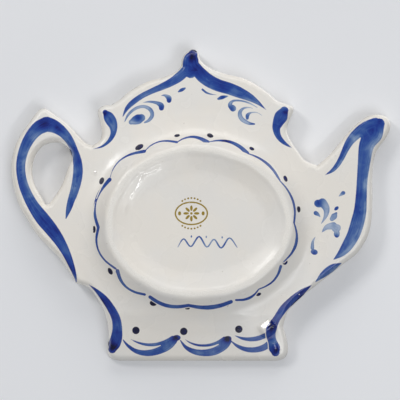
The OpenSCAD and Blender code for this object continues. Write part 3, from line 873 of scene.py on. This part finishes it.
UPPER_PAINT = [
    ("upper_rim_painting", "front_rim_strokes", brush, dict(
        tone=0.52, load=[(-69.4, 28.4, 3, 0.3), (35, 36.5, 2.4, 0.3), (-32, 36.5, 2.4, 0.3),
                         (56, -7, 4, 0.2)])),
    ("upper_well_line", "front_well_line", fine_brush, dict(tone=0.5)),
    ("upper_rose_painting", "front_well_rose", brush, dict(
        tone=0.45, load=[(*foot_centre, 2.4, 0.45)])),
    ("upper_sprig_painting", "front_well_sprigs", fine_brush, dict(tone=0.62)),
]
for table, surface, out in ((UNDER_PAINT, under, -1), (UPPER_PAINT, top, 1)):
    for name, node, material, look in table:
        piece = painted(name, node, surface, out, **look)
        dress(piece, material)
gold_piece = painted("gold_stamp", "gold_backstamp", under, -1, tone=0.5, film=0.03)
dress(gold_piece, worn_gold())

# ---------- stage: surfaces that only the camera on their pale side sees ----------


def stage_material(name, colour):
    s = Shader(name)
    across = s.node("ShaderNodeSeparateXYZ")
    s.put(across.inputs[0], s.place)
    # Painted light: the sheet is a few levels lighter towards -x -y and darker towards +x +y, painted in to
    # stand in for the fall-off of the lamps; the faint clouds mixed over it are the sheet's own uneven
    # tone.
    corner = s.math("ADD", across.outputs[0], across.outputs[1])
    pale, shaded = linear(*[c + 3 for c in colour]), linear(*[c - 4 for c in colour])
    painted_falloff = s.mix(s.span(corner, -0.13, 0.13), pale, shaded)
    cloud = s.span(s.noise(7, 2.0), 0.3, 0.7)
    s.finish(s.mix(s.math("MULTIPLY", cloud, 0.3), painted_falloff, linear(*colour)), 0.75)
    s.bsdf.inputs["Specular IOR Level"].default_value = 0.1
    clear = s.node("ShaderNodeBsdfTransparent").outputs[0]
    share = s.node("ShaderNodeMixShader")
    s.put(share.inputs[0], s.node("ShaderNodeNewGeometry").outputs["Backfacing"])
    s.put(share.inputs[1], s.bsdf.outputs[0])
    s.put(share.inputs[2], clear)
    s.put(s.tree.nodes["Material Output"].inputs[0], share.outputs[0])
    return s.material


def stage_sheet(name, z, half, facing, colour):
    corners = [(-half, -half, z), (half, -half, z), (half, half, z), (-half, half, z)]
    mesh = bpy.data.meshes.new(name)
    mesh.from_pydata([tuple(c * METRE for c in p) for p in corners], [],
                     [(0, 1, 2, 3) if facing > 0 else (3, 2, 1, 0)])
    sheet = bpy.data.objects.new(name, mesh)
    bpy.context.scene.collection.objects.link(sheet)
    mesh.materials.append(stage_material(name, colour))
    for ray in ("diffuse", "glossy", "transmission", "shadow", "volume_scatter"):
        setattr(sheet, "visible_" + ray, False)


STAGE_COLOUR = (238, 239, 242)
stage_sheet("floor", -0.02, 1500, 1, STAGE_COLOUR)
stage_sheet("backdrop", rim_z + 0.05, 400, -1, STAGE_COLOUR)

# ---------- light ----------


LIGHT_AIM = Vector((0, 0, 0.01))
DAYLIGHT = (1.0, 0.99, 0.97)
SKYLIGHT = (0.97, 0.985, 1.0)


def area_light(name, at, size, power, colour=(1, 1, 1)):
    data = bpy.data.lights.new(name, "AREA")
    data.shape = "RECTANGLE"
    data.size, data.size_y = size
    data.energy = power
    data.color = colour
    light = bpy.data.objects.new(name, data)
    light.location = Vector(at)
    light.rotation_euler = (LIGHT_AIM - Vector(at)).to_track_quat("-Z", "Y").to_euler()
    bpy.context.scene.collection.objects.link(light)


area_light("window_top", (-0.10, 1.65, -0.74), (1.7, 0.9), 13.6, DAYLIGHT)
area_light("window_left", (0.50, 0.47, -0.58), (0.21, 0.21), 2.0, DAYLIGHT)
area_light("fill_front", (-0.55, -0.65, -1.2), (0.9, 0.9), 5.0, SKYLIGHT)
area_light("lamp_right", (-0.44, -0.44, -0.76), (0.8, 0.035), 1.0)
area_light("window_above", (-0.85, 0.80, 0.85), (1.4, 1.4), 8.5, DAYLIGHT)
area_light("fill_above", (0.85, -0.45, 0.75), (1.2, 1.2), 3.4, SKYLIGHT)

world = bpy.data.worlds.new("studio")
bpy.context.scene.world = world
world.use_nodes = True
sky = world.node_tree.nodes["Background"]
sky.inputs["Color"].default_value = (0.94, 0.965, 1.0, 1.0)
sky.inputs["Strength"].default_value = 0.29

# ---------- camera ----------

LENS = 214.0
SENSOR = 36.0
VIEW_WIDTH = 0.168            # across the picture, at the underside of the flange
TILT = math.radians(3.0)
TARGET = Vector((0.00042, 0.00189, (flange_z + 3) * METRE))
camera_data = bpy.data.cameras.new("camera")
camera_data.sensor_width = SENSOR
camera_data.lens = LENS
camera_data.clip_start = 0.01
camera_data.clip_end = 20.0
camera = bpy.data.objects.new("camera", camera_data)
reach = VIEW_WIDTH * LENS / SENSOR
outwards = Vector((0, -math.sin(TILT), -math.cos(TILT)))
upwards = Vector((0, math.cos(TILT), -math.sin(TILT)))
camera.location = TARGET + outwards * reach
camera.rotation_euler = Matrix((upwards.cross(outwards), upwards, outwards)).transposed().to_euler()
bpy.context.scene.collection.objects.link(camera)
bpy.context.scene.camera = camera
bpy.context.scene.view_settings.view_transform = "Standard"
